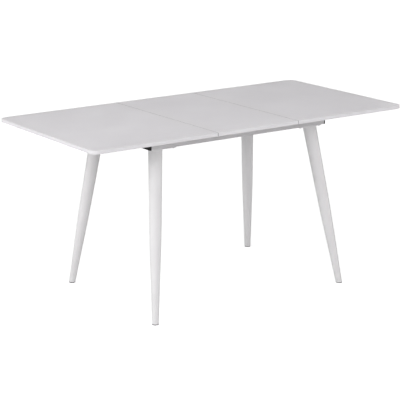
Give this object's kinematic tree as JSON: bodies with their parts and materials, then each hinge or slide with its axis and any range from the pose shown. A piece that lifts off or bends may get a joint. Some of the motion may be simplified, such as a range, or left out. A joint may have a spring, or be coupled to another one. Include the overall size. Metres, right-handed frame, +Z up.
{
  "type": "extendable dining table",
  "caption": "White rectangular dining table on four splayed tapered legs; the two halves of the top slide apart on rails for a drop-in leaf.",
  "frame": {"origin": "on the floor, under the middle of the extended top", "axes": "+X along the table's length towards the right-hand half, +Y across it towards the rear, +Z up"},
  "size_m": [1.52, 0.775, 0.75],
  "materials": {
    "top_laminate": "satin white laminate on board, faintly cool",
    "edging": "white plastic edging",
    "white_rail": "white powder coat on extruded aluminium",
    "white_steel": "white powder coat on steel",
    "black_plastic": "moulded black plastic",
    "glide_plastic": "dark grey plastic",
    "aluminium": "mill-finished extrusion",
    "nylon": "natural nylon",
    "zinc_steel": "bright zinc plate",
    "beech": "plain beech",
    "rubber": "soft grey rubber",
    "bronze": "sintered bronze"
  },
  "bodies": {
    "frame": {"front_rail": "white_rail", "rear_rail": "white_rail", "front_left_end_cap": "black_plastic", "front_right_end_cap": "black_plastic", "rear_left_end_cap": "black_plastic", "rear_right_end_cap": "black_plastic", "front_left_leg": "white_steel", "front_right_leg": "white_steel", "rear_left_leg": "white_steel", "rear_right_leg": "white_steel", "front_left_leg_plate": "white_steel", "front_right_leg_plate": "white_steel", "rear_left_leg_plate": "white_steel", "rear_right_leg_plate": "white_steel", "front_left_glide": "glide_plastic", "front_right_glide": "glide_plastic", "rear_left_glide": "glide_plastic", "rear_right_glide": "glide_plastic", "left_cross_bar": "white_steel", "middle_cross_bar": "white_steel", "right_cross_bar": "white_steel", "cross_bar_end_plates": "white_steel", "cross_bar_bolts": "zinc_steel", "leg_bolts": "zinc_steel", "rail_rivet_nuts": "zinc_steel", "gear_bracket": "zinc_steel", "gear_bracket_screws": "zinc_steel", "gear_axle": "zinc_steel", "gear_washers": "zinc_steel", "gear_clip": "zinc_steel"},
    "left_top": {"left_top_board": "top_laminate", "left_top_edging": "edging", "left_top_dowels": "beech", "left_front_runner": "aluminium", "left_rear_runner": "aluminium", "left_slide_shoes": "nylon", "left_runner_plugs": "black_plastic", "left_batten": "aluminium", "left_board_screws": "zinc_steel", "left_rack": "nylon", "left_rack_bracket": "nylon", "left_rack_screws": "zinc_steel"},
    "right_top": {"right_top_board": "top_laminate", "right_top_edging": "edging", "right_front_runner": "aluminium", "right_rear_runner": "aluminium", "right_slide_shoes": "nylon", "right_runner_plugs": "black_plastic", "right_batten": "aluminium", "right_board_screws": "zinc_steel", "right_rack": "nylon", "right_rack_bracket": "nylon", "right_rack_screws": "zinc_steel"},
    "leaf": {"leaf_board": "top_laminate", "leaf_edging": "edging", "leaf_dowels": "beech", "leaf_rest_pads": "rubber"},
    "pinion": {"sync_pinion": "nylon", "pinion_bush": "bronze"}
  },
  "joints": [
    {"name": "left_top_slide", "type": "slide", "parent": "frame", "child": "left_top", "axis": [1, 0, 0], "range_m": [0, 0.1975]},
    {"name": "right_top_slide", "type": "slide", "parent": "frame", "child": "right_top", "axis": [-1, 0, 0], "range_m": [0, 0.1975]},
    {"name": "leaf_lift", "type": "slide", "parent": "frame", "child": "leaf", "axis": [0, 0, 1], "range_m": [0, 0.395]},
    {"name": "pinion_spin", "type": "hinge", "parent": "frame", "child": "pinion", "pos_m": [0, 0, 0.7215], "axis": [0, 0, 1], "range_deg": [-566, 0]}
  ],
  "couplings": [
    {"joint": "right_top_slide", "follows": "left_top_slide", "ratio": 1},
    {"joint": "leaf_lift", "follows": "left_top_slide", "ratio": 2},
    {"joint": "pinion_spin", "follows": "left_top_slide", "rad_per_m": -50}
  ]
}
